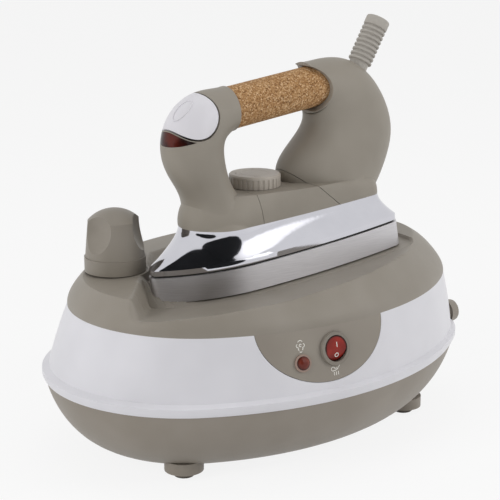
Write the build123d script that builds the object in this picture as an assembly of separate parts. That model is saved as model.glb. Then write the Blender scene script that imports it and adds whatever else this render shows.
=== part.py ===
from build123d import *
from functools import cache
import math
import os

# A steam ironing station: an oval boiler base with a domed lid, and an iron resting nose down in its dish.
# Millimetres. X runs along the base with the iron's tip towards -X, Y across it, Z up, the floor at Z = 0.

# Fits
GAP = 0.3            # clearance between pieces that move past each other
FIT = 0.15           # clearance round a piece seated in another
SEAM = 0.4           # visible line between two mouldings
WALL = 2.6           # moulded wall

# Base outline: half lengths, half width and end radii at the lower and upper seams
TRAY_SEAM_Z = 62.4
COVER_SEAM_Z = 116.9
LOW_FRONT = 182.5
LOW_REAR = 182.5
LOW_HALF_WIDTH = 128.5
LOW_FRONT_R = 112.0
LOW_REAR_R = 96.0
TOP_FRONT = 162.0
TOP_REAR = 174.0
TOP_HALF_WIDTH = 117.6
TOP_FRONT_R = 103.0
TOP_REAR_R = 84.0

# Tray
TRAY_FLOOR_Z = 9.0
TRAY_TUCK = 44.0      # how far the floor's edge lies inside the lower seam
FOOT_R = 8.0
FOOT_STEM_R = 5.0
FOOT_HEIGHT = 5.0
FOOT_X = 113.0
FOOT_Y = 53.0
LUG_R = 15.0

# White band
BAND_BULGE = 0.8      # how far the wall bows out half way up
BEAD_OUT = 2.2
BEAD_HEIGHT = 9.0

# Cover
COVER_RISE_FRONT = 21.5   # cover height above its seam at the front and at the rear
COVER_RISE_REAR = 33.5
COVER_SHOULDER = 12.5     # how far the shoulder lies inside the seam

# Rest of the iron
IRON_TIP_X = -102.6
IRON_TIP_Z = 121.4
IRON_TILT = 6.68
MAT_PROUD = 1.0
DISH_MARGIN = 7.0
DISH_FLARE = 50.0
DISH_RISE = 34.0

# Boiler
TANK_X = -58.0
TANK_Y = 18.0
TANK_R = 74.0
TANK_Z0 = 30.0
TANK_HEIGHT = 74.0
TANK_WALL = 1.5
TANK_CROWN = 8.0

# Boiler cap
CAP_X = -110.0
CAP_Y = 41.0
CAP_SEAT_Z = 140.5
CAP_R = 24.0
CAP_TOP_R = 20.5
CAP_HEIGHT = 49.0
CAP_SKIRT = 11.5
NECK_BORE_R = 10.0
NECK_R = 14.0
PLUG_LENGTH = 22.0
PLUG_SOCKET = 5.0
SCOOPS = 3
SCOOP_R = 26.0
SCOOP_AT = 40.0
HUMP_RIM = 2.5
NECK_RISE = 9.0
CAP_CEILING = 11.2
CAP_STEP = 0.8
CAP_DOME = 9.0

# Control panel
PANEL_X = -28.5
PANEL_HALF = 55.0
PANEL_DROP = 40.0
FACE_PROUD = 0.1      # gap under a round fitting's flange, whose plane touches the curved wall
SWITCH_X = -23.0
SWITCH_Z = 100.0
SWITCH_R = 13.0
BEZEL_LIP = 1.5       # how far the bezel's flange stands out past its sleeve
BEZEL_HEIGHT = 2.0
BEZEL_DEPTH = 10.0
SWITCH_DEPTH = 16.0
ROCKER_R = 9.6
ROCKER_DEPTH = 8.0
ROCKER_TOP = 2.2      # height of the key's ridge above the wall
ROCKER_LEAN = 11.0    # slope of each half of the key
LAMP_X = -51.5
LAMP_Z = 93.5
LAMP_R = 5.2
LAMP_DEPTH = 8.0
LAMP_CROWN = 1.8
LAMP_CROWN_R = 9.0
RING_R = 6.6
RING_HEIGHT = 1.2

# Rear gland
GLAND_X = 169.5
GLAND_Y = -42.0
GLAND_Z = 74.0
GLAND_R = 11.0
GLAND_BORE_R = 5.0
GLAND_OUT = 9.0
GLAND_INSIDE = 24.0
PIPE_R = 4.0

# Soleplate
SOLE_LENGTH = 214.0
SOLE_HALF = 54.0
SOLE_THICK = 20.0
SOLE_HEEL_R = 9.0
SOLE_HEEL_BULGE = 3.0
SOLE_NOSE = (2.6, 6.4)
SOLE_SHOULDER = (70.0, 42.5)
ELEMENT_R = 3.5
STEAM_HOLE_R = 1.5
GASKET_HEIGHT = 1.6
GASKET_IN = 2.4
GASKET_WIDTH = 5.0

# Chrome skirt
SKIRT_TIP = 36.0
SKIRT_HEEL = 212.0
SKIRT_HALF = 35.5
SKIRT_NOSE = (44.0, 20.0)
SKIRT_SHOULDER = (74.0, 34.0)
SKIRT_HEEL_R = 12.0
SKIRT_HEEL_BULGE = 5.0
SKIRT_FRONT_H = 49.6
SKIRT_REAR_H = 40.4
SKIRT_LIP = 4.0
LIP_IN = 1.2
SHEET = 1.0

# Iron housing
DECK_H = 67.0
DIAL_S = 107.0
DIAL_R = 20.5
DIAL_HEIGHT = 10.0
DIAL_FLUTES = 30
FLUTE_R = 1.1
SPINDLE_R = 3.0
GRIP_H = 133.5
GRIP_R = 16.6
GRIP_START = 88.0
GRIP_END = 184.0
CORE_R = 7.0
CORE_WALL = 2.0
CORE_GRIP = 13.0
FRONT_SPLIT = 87.0
REAR_SPLIT_TOP = 129.0
REAR_SPLIT_H = 79.0
REAR_SPLIT_ANGLE = 46.0
BUTTON_S = 47.0
BUTTON_H = 139.5
BUTTON_R = 19.5
BUTTON_GAP = 1.6
PRESS_ANGLE = 33.0     # lean of the button's travel from the soleplate's normal
PRESS_DEPTH = 36.0
STEM_R = 4.0
SWITCH_LENGTH = 9.0
SOCKET_S = 158.0       # round end of the rear shell, concave behind the grip
SOCKET_R = 20.0
COLUMN_H = 95.0        # the front split runs up to here
THERMOSTAT_H = 14.0

# Hose boot
BOOT_S = 225.4
BOOT_H = 142.8
BOOT_ANGLE = 37.6      # lean from the soleplate's normal
BOOT_R = 10.0
BOOT_RIBS = 8
BOOT_PITCH = 3.9
BOOT_RIB_DEPTH = 1.6
BOOT_BORE_R = 5.5
BOOT_END = 8.0
BOOT_SPIGOT_R = 8.0
BOOT_SPIGOT = 11.0
STEAM_TUBE_R = 4.0

# Columns of the housing: outer point, inner point and half width of each section, from the deck to the grip
FRONT_STATIONS = [
    (37.5, 49.0, 96.0, 46.0, 34.5),
    (42.0, 64.0, 86.0, 65.0, 27.5),
    (35.0, 84.0, 76.5, 85.0, 24.0),
    (27.0, 106.0, 75.5, 101.0, 23.5),
    (30.0, 127.0, 77.0, 109.5, 23.0),
    (44.0, 144.5, 80.5, 113.5, 21.8),
    (66.0, 151.8, 84.5, 115.5, 19.8),
    (GRIP_START, 151.2, GRIP_START, 115.8, 17.7),
]
REAR_STATIONS = [
    (215.5, 40.2, 138.0, 44.0, 34.5),
    (238.0, 58.0, 134.0, 63.0, 31.0),
    (249.0, 80.0, 140.0, 82.0, 28.0),
    (247.0, 103.0, 158.0, 96.0, 25.5),
    (235.0, 127.0, 166.0, 106.0, 24.0),
    (206.0, 150.0, 168.0, 112.0, 22.0),
    (166.0, 154.5, 166.0, 113.0, 20.5),
]

IRON = Location((IRON_TIP_X, 0, IRON_TIP_Z), (0, -IRON_TILT, 0))
TILT_SIN = math.sin(math.radians(IRON_TILT))
TILT_COS = math.cos(math.radians(IRON_TILT))
BIG = 1200.0


def egg_side(front, rear, half_width, front_r, rear_r):
    """Centre and radius of the long near side that touches both end arcs of an oval."""
    front_c = front_r - front
    rear_c = rear - rear_r
    span = rear_c - front_c
    a = (rear_r - front_r) / span
    b = (front_r ** 2 - rear_r ** 2 + rear_c ** 2 - front_c ** 2) / (2 * span)
    p = 2 * a * (b - front_c) - 2 * half_width + 2 * front_r
    q = (b - front_c) ** 2 + half_width ** 2 - front_r ** 2
    side_r = -q / p
    if abs(a) > 1e-9:
        side_r = (-p - math.sqrt(p * p - 4 * a * a * q)) / (2 * a * a)
    return a * side_r + b, side_r - half_width, side_r


def egg(front, rear, half_width, front_r, rear_r):
    """Oval of four tangent arcs: two end arcs and the two long sides that touch them."""
    side_x, side_y, _ = egg_side(front, rear, half_width, front_r, rear_r)

    def touch(centre, radius, sign):
        length = math.hypot(centre - side_x, side_y)
        return (centre + radius * (centre - side_x) / length, sign * radius * side_y / length)

    near_front = touch(front_r - front, front_r, -1)
    far_front = touch(front_r - front, front_r, 1)
    near_rear = touch(rear - rear_r, rear_r, -1)
    far_rear = touch(rear - rear_r, rear_r, 1)
    edges = [
        ThreePointArc(near_rear, (side_x, -half_width), near_front),
        ThreePointArc(near_front, (-front, 0), far_front),
        ThreePointArc(far_front, (side_x, half_width), far_rear),
        ThreePointArc(far_rear, (rear, 0), near_rear),
    ]
    return make_face(edges)


def base_sizes(z, inset):
    """Lengths, half width and radii of the base's outline at a height between its seams."""
    t = min(max((z - TRAY_SEAM_Z) / (COVER_SEAM_Z - TRAY_SEAM_Z), 0), 1)
    pairs = [(LOW_FRONT, TOP_FRONT), (LOW_REAR, TOP_REAR), (LOW_HALF_WIDTH, TOP_HALF_WIDTH),
             (LOW_FRONT_R, TOP_FRONT_R), (LOW_REAR_R, TOP_REAR_R)]
    return [low + (top - low) * t - inset for low, top in pairs]


def base_outline(z, inset, height=None):
    """Outline of the base at a height between its seams, drawn in by an inset."""
    return Pos(0, 0, z if height is None else height) * egg(*base_sizes(z, inset))


def ellipse_on(centre, along, normal, half_length, half_width):
    return Plane(origin=centre, x_dir=along, z_dir=normal) * Ellipse(half_length, half_width)


def boat(tip, heel, half, nose, shoulder, heel_r, heel_bulge):
    """Outline of an iron with its tip towards -X: tangent arcs along each side and a bowed heel."""
    heel_half = 0.965 * half
    side_end = heel - heel_r
    tip_arc = TangentArc((tip, 0), nose, tangent=(0, 1))
    bow = TangentArc(nose, shoulder, tangent=tip_arc % 1)
    side = TangentArc(shoulder, (side_end, heel_half), tangent=bow % 1)
    corner = TangentArc((side_end, heel_half), (heel, heel_half - heel_r), tangent=side % 1)
    back = ThreePointArc((heel, heel_half - heel_r), (heel + heel_bulge, 0), (heel, heel_r - heel_half))
    far = [tip_arc, bow, side, corner]
    near = [mirror(edge, about=Plane.XZ) for edge in far]
    return make_face(far + [back] + near)


def drawn_in(point, inset):
    """A point of a boat's bow, moved square to its slope of about 45 degrees."""
    return (point[0] + 0.7 * inset, point[1] - 0.7 * inset)


def sole_outline(inset):
    return boat(inset, SOLE_LENGTH - inset, SOLE_HALF - inset, drawn_in(SOLE_NOSE, inset),
                (SOLE_SHOULDER[0], SOLE_SHOULDER[1] - inset), SOLE_HEEL_R, SOLE_HEEL_BULGE)


def skirt_slope():
    return math.atan2(SKIRT_FRONT_H - SKIRT_REAR_H, SKIRT_HEEL - SKIRT_TIP)


def skirt_plane(t, lift=0.0):
    """Plane across the skirt at a share of its flare, from the lip at 0 to the top edge at 1."""
    slope = skirt_slope() * t
    lip_h = SOLE_THICK + GASKET_HEIGHT + SKIRT_LIP
    top_h = (SKIRT_FRONT_H + SKIRT_REAR_H) / 2
    normal = Vector(math.sin(slope), 0, math.cos(slope))
    mid = Vector((SKIRT_TIP + SKIRT_HEEL) / 2, 0, lip_h + (top_h - lip_h) * t)
    return Plane(origin=mid + normal * lift, x_dir=(math.cos(slope), 0, -math.sin(slope)), z_dir=normal)


def skirt_section(t, inset, lift=0.0):
    """Outline of the concave chrome flare, drawn in by an inset."""
    k = 1 - (1 - t) ** 2
    mid = (SKIRT_TIP + SKIRT_HEEL) / 2

    def at(low, top):
        return low + (top - low) * k

    lip_nose = drawn_in(SOLE_NOSE, LIP_IN)
    nose = drawn_in((at(lip_nose[0], SKIRT_NOSE[0]) - mid, at(lip_nose[1], SKIRT_NOSE[1])), inset)
    shoulder = (at(SOLE_SHOULDER[0], SKIRT_SHOULDER[0]) - mid,
                at(SOLE_SHOULDER[1] - LIP_IN, SKIRT_SHOULDER[1]) - inset)
    flat = boat(at(LIP_IN, SKIRT_TIP) + inset - mid, at(SOLE_LENGTH - LIP_IN, SKIRT_HEEL) - inset - mid,
                at(SOLE_HALF - LIP_IN, SKIRT_HALF) - inset, nose, shoulder,
                at(SOLE_HEEL_R, SKIRT_HEEL_R), at(SOLE_HEEL_BULGE, SKIRT_HEEL_BULGE))
    return skirt_plane(t, lift) * flat


def upright(radius, height):
    return Cylinder(radius, height, align=(Align.CENTER, Align.CENTER, Align.MIN))


def below(plane):
    return plane * Pos(0, 0, -BIG / 2) * Box(BIG, BIG, BIG)


def above(plane):
    return plane * Pos(0, 0, BIG / 2) * Box(BIG, BIG, BIG)


def tube(start, end, radius):
    axis = Vector(*end) - Vector(*start)
    return Plane(origin=start, z_dir=axis) * extrude(Circle(radius), axis.length)


def rest_plane(lift):
    """Plane that the soleplate lies on, in the base's frame."""
    normal = Vector(-TILT_SIN, 0, TILT_COS)
    origin = Vector(IRON_TIP_X, 0, IRON_TIP_Z) + normal * lift
    return Plane(origin=origin, x_dir=(TILT_COS, 0, TILT_SIN), z_dir=normal)


def tray_form(wall):
    sections = [
        base_outline(0, TRAY_TUCK + 0.6 * wall, TRAY_FLOOR_Z + wall),
        base_outline(0, 0.6 * TRAY_TUCK + wall, TRAY_FLOOR_Z + 9 + 0.7 * wall),
        base_outline(0, 0.2 * TRAY_TUCK + wall, TRAY_FLOOR_Z + 30 + 0.3 * wall),
        base_outline(0, wall, TRAY_SEAM_Z),
    ]
    return loft(sections)


def foot_places():
    return [(x, y) for x in (-FOOT_X, FOOT_X) for y in (-FOOT_Y, FOOT_Y)]


def bottom_tray():
    tray = tray_form(0)
    for x, y in foot_places():
        lug = Pos(x, y, FOOT_HEIGHT) * upright(LUG_R, TRAY_FLOOR_Z)
        tray += lug
    tray -= tray_form(WALL)
    for x, y in foot_places():
        hole = Pos(x, y, 0) * upright(FOOT_STEM_R + FIT, 2 * TRAY_FLOOR_Z)
        tray -= hole
    return tray


def rubber_feet():
    feet = []
    for x, y in foot_places():
        pad = Pos(x, y, 0) * upright(FOOT_R, FOOT_HEIGHT)
        pad = fillet(pad.edges().group_by(Axis.Z)[0], 1.2)
        stem = Pos(x, y, FOOT_HEIGHT) * upright(FOOT_STEM_R, TRAY_FLOOR_Z)
        feet.append(pad + stem)
    return feet


def band_form(start, inset):
    middle = (TRAY_SEAM_Z + COVER_SEAM_Z) / 2
    return loft([base_outline(start, inset), base_outline(middle, inset - BAND_BULGE),
                 base_outline(COVER_SEAM_Z, inset)])


def bead_form():
    """Rounded rail along the foot of the band, ending on the wall above it."""
    top = TRAY_SEAM_Z + BEAD_HEIGHT
    sections = [
        base_outline(TRAY_SEAM_Z, -0.4 * BEAD_OUT),
        base_outline(TRAY_SEAM_Z, -BEAD_OUT, TRAY_SEAM_Z + 0.3 * BEAD_HEIGHT),
        base_outline(TRAY_SEAM_Z, -BEAD_OUT, TRAY_SEAM_Z + 0.75 * BEAD_HEIGHT),
        base_outline(top, 0),
    ]
    return loft(sections, ruled=True)


@cache
def band_shell():
    band = band_form(TRAY_SEAM_Z + BEAD_HEIGHT, 0) + bead_form()
    return band - band_form(TRAY_SEAM_Z, WALL)


def panel_prism(grow):
    """Half ellipse hanging from the upper seam, cut through the near wall of the band."""
    shape = Plane.XZ * Pos(PANEL_X, COVER_SEAM_Z) * Ellipse(PANEL_HALF + grow, PANEL_DROP + grow)
    return extrude(shape, BIG / 2)


def near_wall(x, z):
    """Depth of the near wall of the band, which bows along its length and its height."""
    share = (z - TRAY_SEAM_Z) / (COVER_SEAM_Z - TRAY_SEAM_Z)
    side_x, side_y, side_r = egg_side(*base_sizes(z, -BAND_BULGE * 4 * share * (1 - share)))
    return side_y - math.sqrt(side_r ** 2 - (x - side_x) ** 2)


def panel_plane(x, z, lift):
    """Plane on the near wall of the band, facing outwards."""
    step = 1.0
    along = Vector(2 * step, near_wall(x + step, z) - near_wall(x - step, z), 0).normalized()
    rise = Vector(0, near_wall(x, z + step) - near_wall(x, z - step), 2 * step)
    normal = along.cross(rise).normalized()
    return Plane(origin=Vector(x, near_wall(x, z), z) + normal * lift, x_dir=along, z_dir=normal)


def switch_plane(lift):
    return panel_plane(SWITCH_X, SWITCH_Z, lift)


def lamp_plane(lift):
    return panel_plane(LAMP_X, LAMP_Z, lift)


def switch_bores():
    switch = switch_plane(-BEZEL_DEPTH) * extrude(Circle(SWITCH_R - BEZEL_LIP + FIT), 2 * BEZEL_DEPTH)
    lamp = lamp_plane(-LAMP_DEPTH) * extrude(Circle(LAMP_R + FIT), 2 * LAMP_DEPTH)
    return switch + lamp


def control_panel():
    return (band_shell() & panel_prism(0)) - switch_bores()


def gland_axis(lift):
    return Plane(origin=(GLAND_X + lift, GLAND_Y, GLAND_Z), z_dir=(1, 0, 0))


def band_housing():
    band = band_shell() - panel_prism(SEAM)
    return band - gland_axis(-GLAND_INSIDE) * extrude(Circle(GLAND_R + FIT), 2 * GLAND_INSIDE)


def cover_plane(lift):
    """Sloping top of the cover."""
    run = TOP_FRONT + TOP_REAR - 2 * COVER_SHOULDER
    slope = math.atan2(COVER_RISE_REAR - COVER_RISE_FRONT, run)
    origin = (COVER_SHOULDER - TOP_FRONT, 0, COVER_SEAM_Z + COVER_RISE_FRONT + lift)
    along = (math.cos(slope), 0, math.sin(slope))
    return Plane(origin=origin, x_dir=along, z_dir=(-math.sin(slope), 0, math.cos(slope)))


def dome(wall):
    sections = [
        base_outline(COVER_SEAM_Z, wall, COVER_SEAM_Z),
        base_outline(COVER_SEAM_Z, 0.15 * COVER_SHOULDER + wall, COVER_SEAM_Z + 8),
        base_outline(COVER_SEAM_Z, 0.52 * COVER_SHOULDER + wall, COVER_SEAM_Z + 15),
        base_outline(COVER_SEAM_Z, COVER_SHOULDER + wall, COVER_SEAM_Z + 22),
        base_outline(COVER_SEAM_Z, 1.9 * COVER_SHOULDER + wall, COVER_SEAM_Z + 31),
        base_outline(COVER_SEAM_Z, 2.8 * COVER_SHOULDER + wall, COVER_SEAM_Z + 38),
    ]
    return loft(sections) & below(cover_plane(-wall))


def dish_tool(grow):
    """Room for the iron: a floor on the rest plane and sides that open wide, most on the near side."""
    floor_lift = -(MAT_PROUD + GAP) - grow
    margin = DISH_MARGIN + grow
    nose = drawn_in(SOLE_NOSE, -margin)
    heel = SOLE_LENGTH + SOLE_HEEL_BULGE + margin
    floor = rest_plane(floor_lift) * boat(
        -margin, heel, SOLE_HALF + margin, nose,
        (SOLE_SHOULDER[0], SOLE_SHOULDER[1] + margin), 14.0, SOLE_HEEL_BULGE)
    wide = DISH_FLARE
    mouth = rest_plane(floor_lift + DISH_RISE) * Pos(0, -8.0) * boat(
        -margin - 0.7 * wide, heel + 0.3 * wide, SOLE_HALF + margin + wide, drawn_in(nose, -0.8 * wide),
        (SOLE_SHOULDER[0], SOLE_SHOULDER[1] + margin + wide), 30.0, SOLE_HEEL_BULGE)
    return loft([floor, mouth], ruled=True)


def cap_hump(grow):
    return Pos(CAP_X, CAP_Y, COVER_SEAM_Z) * upright(CAP_R + HUMP_RIM + grow, 60)


def top_cover():
    outer = dome(0) - (dish_tool(0) - cap_hump(0))
    inner = dome(WALL) - (dish_tool(WALL) - cap_hump(-WALL))
    cover = outer - inner
    collar = Pos(CAP_X, CAP_Y, CAP_SEAT_Z - 8) * upright(NECK_R + 5, 7)
    cover += collar
    cover -= Pos(CAP_X, CAP_Y, 0) * upright(NECK_R + GAP, BIG)
    return cover - cap_at(-GAP) * upright(CAP_R + 1.0, BIG)


def rest_mat():
    """Silicone strips under the soleplate, let into the floor of the dish."""
    floor = -(MAT_PROUD + GAP)
    strips = []
    for s in (60.0, 115.0, 170.0):
        strip = rest_plane(floor) * Pos(s, 0, MAT_PROUD / 2) * Box(12.0, 56.0, MAT_PROUD)
        strips.append(strip)
    return strips


def boiler_tank():
    middle = Pos(TANK_X, TANK_Y, TANK_Z0 + TANK_HEIGHT / 2)
    body = middle * Cylinder(TANK_R, TANK_HEIGHT)
    body = fillet(body.edges(), TANK_CROWN)
    room = middle * Cylinder(TANK_R - TANK_WALL, TANK_HEIGHT - 2 * TANK_WALL)
    room = fillet(room.edges(), TANK_CROWN - TANK_WALL)
    mouth = Pos(CAP_X, CAP_Y, TANK_Z0 + TANK_HEIGHT) * Cylinder(NECK_BORE_R, 4 * TANK_WALL)
    return body - room - mouth


def boiler_neck():
    length = CAP_SEAT_Z + NECK_RISE - TANK_Z0 - TANK_HEIGHT
    at = Pos(CAP_X, CAP_Y, TANK_Z0 + TANK_HEIGHT)
    neck = at * upright(NECK_R, length)
    return neck - at * upright(NECK_BORE_R, length)


def boiler_heater():
    at = Pos(TANK_X, TANK_Y, TANK_Z0 - 6.0)
    plate = at * upright(46.0, 6.0)
    return plate - at * upright(20.0, 6.0)


def boiler_posts():
    floor = TRAY_FLOOR_Z + WALL
    posts = []
    for angle in range(0, 360, 90):
        turn = math.radians(angle)
        x = TANK_X + 52.0 * math.cos(turn)
        y = TANK_Y + 52.0 * math.sin(turn)
        post = Pos(x, y, floor) * upright(5.0, TANK_Z0 - floor)
        posts.append(post)
    return posts


def thermal_cutout():
    at = Pos(TANK_X, TANK_Y, TANK_Z0)
    return at * Cylinder(10.0, 12.0, align=(Align.CENTER, Align.CENTER, Align.MAX))


def valve_place():
    return Pos(TANK_X + 40.0, TANK_Y, TANK_Z0 + TANK_HEIGHT)


def pressure_switch():
    at = Pos(TANK_X, TANK_Y - 40.0, TANK_Z0 + TANK_HEIGHT)
    stem = at * upright(5.0, 4.0)
    can = at * Pos(0, 0, 4.0) * upright(13.0, 6.0)
    return stem + can


def solenoid_valve():
    foot = valve_place() * upright(7.0, 10.0)
    coil = valve_place() * Pos(24.0, 0, 5.0) * Box(40.0, 20.0, 10.0)
    return foot + coil


def terminal_block():
    floor = TRAY_FLOOR_Z + WALL
    return Pos(96.0, 0, floor + 7.0) * Box(22.0, 44.0, 14.0)


def steam_pipe():
    start = (valve_place().position.X + 44.0, TANK_Y, TANK_Z0 + TANK_HEIGHT + 5.0)
    end = (GLAND_X - GLAND_INSIDE, GLAND_Y, GLAND_Z)
    bend = (end[0] - 20.0, GLAND_Y, GLAND_Z)
    path = FilletPolyline(start, (start[0] + 20.0, TANK_Y, start[2]), bend, end, radius=12.0)
    return sweep(Plane(origin=path @ 0, z_dir=path % 0) * Circle(PIPE_R), path=path)


def rear_gland():
    collar = gland_axis(0) * extrude(Circle(GLAND_R), GLAND_OUT, taper=12)
    stem = gland_axis(-GLAND_INSIDE) * extrude(Circle(GLAND_R - 2), GLAND_INSIDE)
    return collar + stem - gland_axis(0) * extrude(Circle(GLAND_BORE_R), GLAND_OUT)


def switch_bezel():
    flange = switch_plane(FACE_PROUD) * extrude(Circle(SWITCH_R), BEZEL_HEIGHT, taper=15)
    sleeve = switch_plane(-BEZEL_DEPTH) * extrude(Circle(SWITCH_R - BEZEL_LIP), BEZEL_DEPTH + FACE_PROUD)
    return flange + sleeve - switch_plane(-BEZEL_DEPTH) * extrude(Circle(ROCKER_R + GAP), 2 * BEZEL_DEPTH)


def switch_body():
    return switch_plane(-BEZEL_DEPTH) * extrude(Circle(SWITCH_R - BEZEL_LIP), -SWITCH_DEPTH)


def rocker_switch():
    """Round key with two faces that fall away from its ridge, tilted with its lower half pressed."""
    key = Pos(0, 0, ROCKER_TOP - ROCKER_DEPTH) * upright(ROCKER_R, ROCKER_DEPTH)
    for side in (-1, 1):
        half = Box(4 * ROCKER_R, 4 * ROCKER_R, ROCKER_DEPTH, align=(Align.CENTER, Align.CENTER, Align.MIN))
        key -= Pos(0, 0, ROCKER_TOP) * Rot(-side * ROCKER_LEAN, 0, 0) * Pos(0, side * 2 * ROCKER_R, 0) * half
    key &= Sphere(ROCKER_R)
    return switch_plane(0) * Rot(ROCKER_LEAN, 0, 0) * key


def pilot_lamp_ring():
    flange = lamp_plane(FACE_PROUD) * extrude(Circle(RING_R), RING_HEIGHT)
    return flange - lamp_plane(0) * extrude(Circle(LAMP_R), 2 * RING_HEIGHT)


def pilot_lamp_lens():
    """Jewel of the lamp: a stem in the panel with a low round crown."""
    top = LAMP_DEPTH + FACE_PROUD + RING_HEIGHT + LAMP_CROWN
    centre = top - LAMP_CROWN_R
    edge = centre + math.sqrt(LAMP_CROWN_R ** 2 - LAMP_R ** 2)
    half_turn = math.asin(LAMP_R / LAMP_CROWN_R) / 2
    crown_mid = (LAMP_CROWN_R * math.sin(half_turn), centre + LAMP_CROWN_R * math.cos(half_turn))
    with BuildSketch(Plane.XZ) as half:
        with BuildLine():
            Polyline((0, top), (0, 0), (LAMP_R, 0), (LAMP_R, edge))
            ThreePointArc((LAMP_R, edge), crown_mid, (0, top))
        make_face()
    return lamp_plane(-LAMP_DEPTH) * revolve(half.sketch, Axis.Z)


def cap_at(lift):
    return Pos(CAP_X, CAP_Y, CAP_SEAT_Z + lift)


def cap_knob():
    body_r = CAP_R - CAP_STEP
    dome_r = CAP_DOME
    crown_r = (CAP_TOP_R ** 2 + dome_r ** 2) / (2 * dome_r)
    half_turn = math.asin(CAP_TOP_R / crown_r) / 2
    crown_mid = (crown_r * math.sin(half_turn), CAP_HEIGHT - crown_r + crown_r * math.cos(half_turn))
    with BuildSketch(Plane.XZ) as half:
        with BuildLine():
            Polyline((0, 0), (CAP_R, 0), (CAP_R, CAP_SKIRT), (body_r, CAP_SKIRT),
                     (CAP_TOP_R, CAP_HEIGHT - dome_r))
            ThreePointArc((CAP_TOP_R, CAP_HEIGHT - dome_r), crown_mid, (0, CAP_HEIGHT))
            Line((0, CAP_HEIGHT), (0, 0))
        make_face()
    knob = revolve(half.sketch, Axis.Z)
    for i in range(SCOOPS):
        turn = -45.0 + 360.0 * i / SCOOPS
        knob -= Rot(0, 0, turn) * Pos(SCOOP_AT, 0, CAP_HEIGHT - 13.0) * Rot(0, 90, 0) * Sphere(SCOOP_R)
    room = upright(NECK_R + 1.2, CAP_CEILING)
    socket = upright(NECK_BORE_R - GAP, CAP_CEILING + PLUG_SOCKET)
    return cap_at(0) * (knob - room - socket)


def cap_plug():
    return cap_at(CAP_CEILING + PLUG_SOCKET - PLUG_LENGTH) * upright(NECK_BORE_R - GAP, PLUG_LENGTH)


def cap_gasket():
    ring = cap_at(NECK_RISE + 0.1) * upright(NECK_R, CAP_CEILING - NECK_RISE - 0.2)
    return ring - cap_at(0) * Cylinder(NECK_BORE_R, 60.0)


def element_path():
    leg = 21.0
    bend = 80.0
    end = 186.0
    near = (bend, -leg, SOLE_THICK)
    far = (bend, leg, SOLE_THICK)
    return Wire([Line((end, -leg, SOLE_THICK), near), ThreePointArc(near, (bend - leg, 0, SOLE_THICK), far),
                 Line(far, (end, leg, SOLE_THICK))])


def element_tube(radius):
    path = element_path()
    return sweep(Plane(origin=path @ 0, z_dir=path % 0) * Circle(radius), path=path)


def soleplate():
    plate = loft([sole_outline(0), Pos(0, 0, SOLE_THICK) * sole_outline(0.8)], ruled=True)
    plate -= element_tube(ELEMENT_R + FIT)
    for row in (0.45, 0.72):
        for s in range(40, 200, 26):
            reach = row * SOLE_HALF * min(1.0, (s / 120.0) ** 0.55)
            for side in (-1, 1):
                plate -= Pos(s, side * reach, 0) * Cylinder(STEAM_HOLE_R, 8.0)
    return plate


def heating_element():
    return element_tube(ELEMENT_R)


def skirt_gasket():
    outer = extrude(sole_outline(GASKET_IN), GASKET_HEIGHT)
    return Pos(0, 0, SOLE_THICK) * (outer - extrude(sole_outline(GASKET_IN + GASKET_WIDTH), GASKET_HEIGHT))


def flare(inset):
    return loft([skirt_section(t / 4, inset) for t in range(5)])


def chrome_skirt():
    lip = extrude(sole_outline(LIP_IN), SKIRT_LIP) - extrude(sole_outline(LIP_IN + SHEET), SKIRT_LIP)
    return Pos(0, 0, SOLE_THICK + GASKET_HEIGHT) * lip + (flare(0) - flare(SHEET))


def heat_shield():
    plate = extrude(skirt_section(1, SHEET + 4 * GAP), -1.5)
    plate -= dial_axis(0) * Cylinder(SPINDLE_R + 1.0, 120.0)
    return plate - steam_line(STEAM_TUBE_R + 0.5)


def dial_axis(lift):
    """Upright axis of the dial, on the level deck between the columns."""
    normal = Vector(TILT_SIN, 0, TILT_COS)
    origin = Vector(DIAL_S, 0, DECK_H) + normal * lift
    return Plane(origin=origin, x_dir=(TILT_COS, 0, -TILT_SIN), z_dir=normal)


def deck_top(inset, drop):
    nose = drawn_in((SKIRT_NOSE[0] + 10.0, SKIRT_NOSE[1] - 4.0), inset)
    return dial_axis(-drop) * Pos(-DIAL_S, 0) * boat(
        SKIRT_TIP + 10.0 + inset, SKIRT_HEEL - 8.0 - inset, SKIRT_HALF - 6.0 - inset, nose,
        (SKIRT_SHOULDER[0] + 4.0, SKIRT_SHOULDER[1] - 7.0 - inset), SKIRT_HEEL_R, SKIRT_HEEL_BULGE)


@cache
def deck():
    return loft([skirt_section(1, 0), skirt_section(1, 1.0, 9.0), deck_top(0, 0)])


def column(stations, turn):
    """Loft through ellipses, each given by its outer and inner points and its half width."""
    sections = []
    for outer_s, outer_h, inner_s, inner_h, half in stations:
        outer = Vector(outer_s, 0, outer_h)
        inner = Vector(inner_s, 0, inner_h)
        along = (inner - outer).normalized()
        normal = Vector(-along.Z, 0, along.X) * turn
        sections.append(ellipse_on((outer + inner) / 2, along, normal, (inner - outer).length / 2, half))
    return loft(sections)


@cache
def front_column():
    return column(FRONT_STATIONS, 1)


@cache
def rear_column():
    return column(REAR_STATIONS, -1)


def grip_rod(start, end, radius):
    return tube((start, 0, GRIP_H), (end, 0, GRIP_H), radius)


def side_disc(s, h, radius):
    return Plane(origin=(s, 0, h), x_dir=(1, 0, 0), z_dir=(0, -1, 0)) * Cylinder(radius, 200.0)


def press_vector():
    lean = math.radians(PRESS_ANGLE)
    return Vector(math.sin(lean), 0, -math.cos(lean))


def press_rod(start, end, radius):
    centre = Vector(BUTTON_S, 0, BUTTON_H)
    return tube(centre + press_vector() * start, centre + press_vector() * end, radius)


def lens_room(grow):
    low = Plane(origin=(34.0, 0, 118.5 - grow), x_dir=(1, 0, 0.17), z_dir=(-0.17, 0, 1))
    block = Pos(31.0, 0, 128.0) * Box(46.0, 100.0, 30.0)
    return (block & above(low)) - side_disc(BUTTON_S, BUTTON_H, BUTTON_R + 2 * SEAM - grow)


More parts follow.
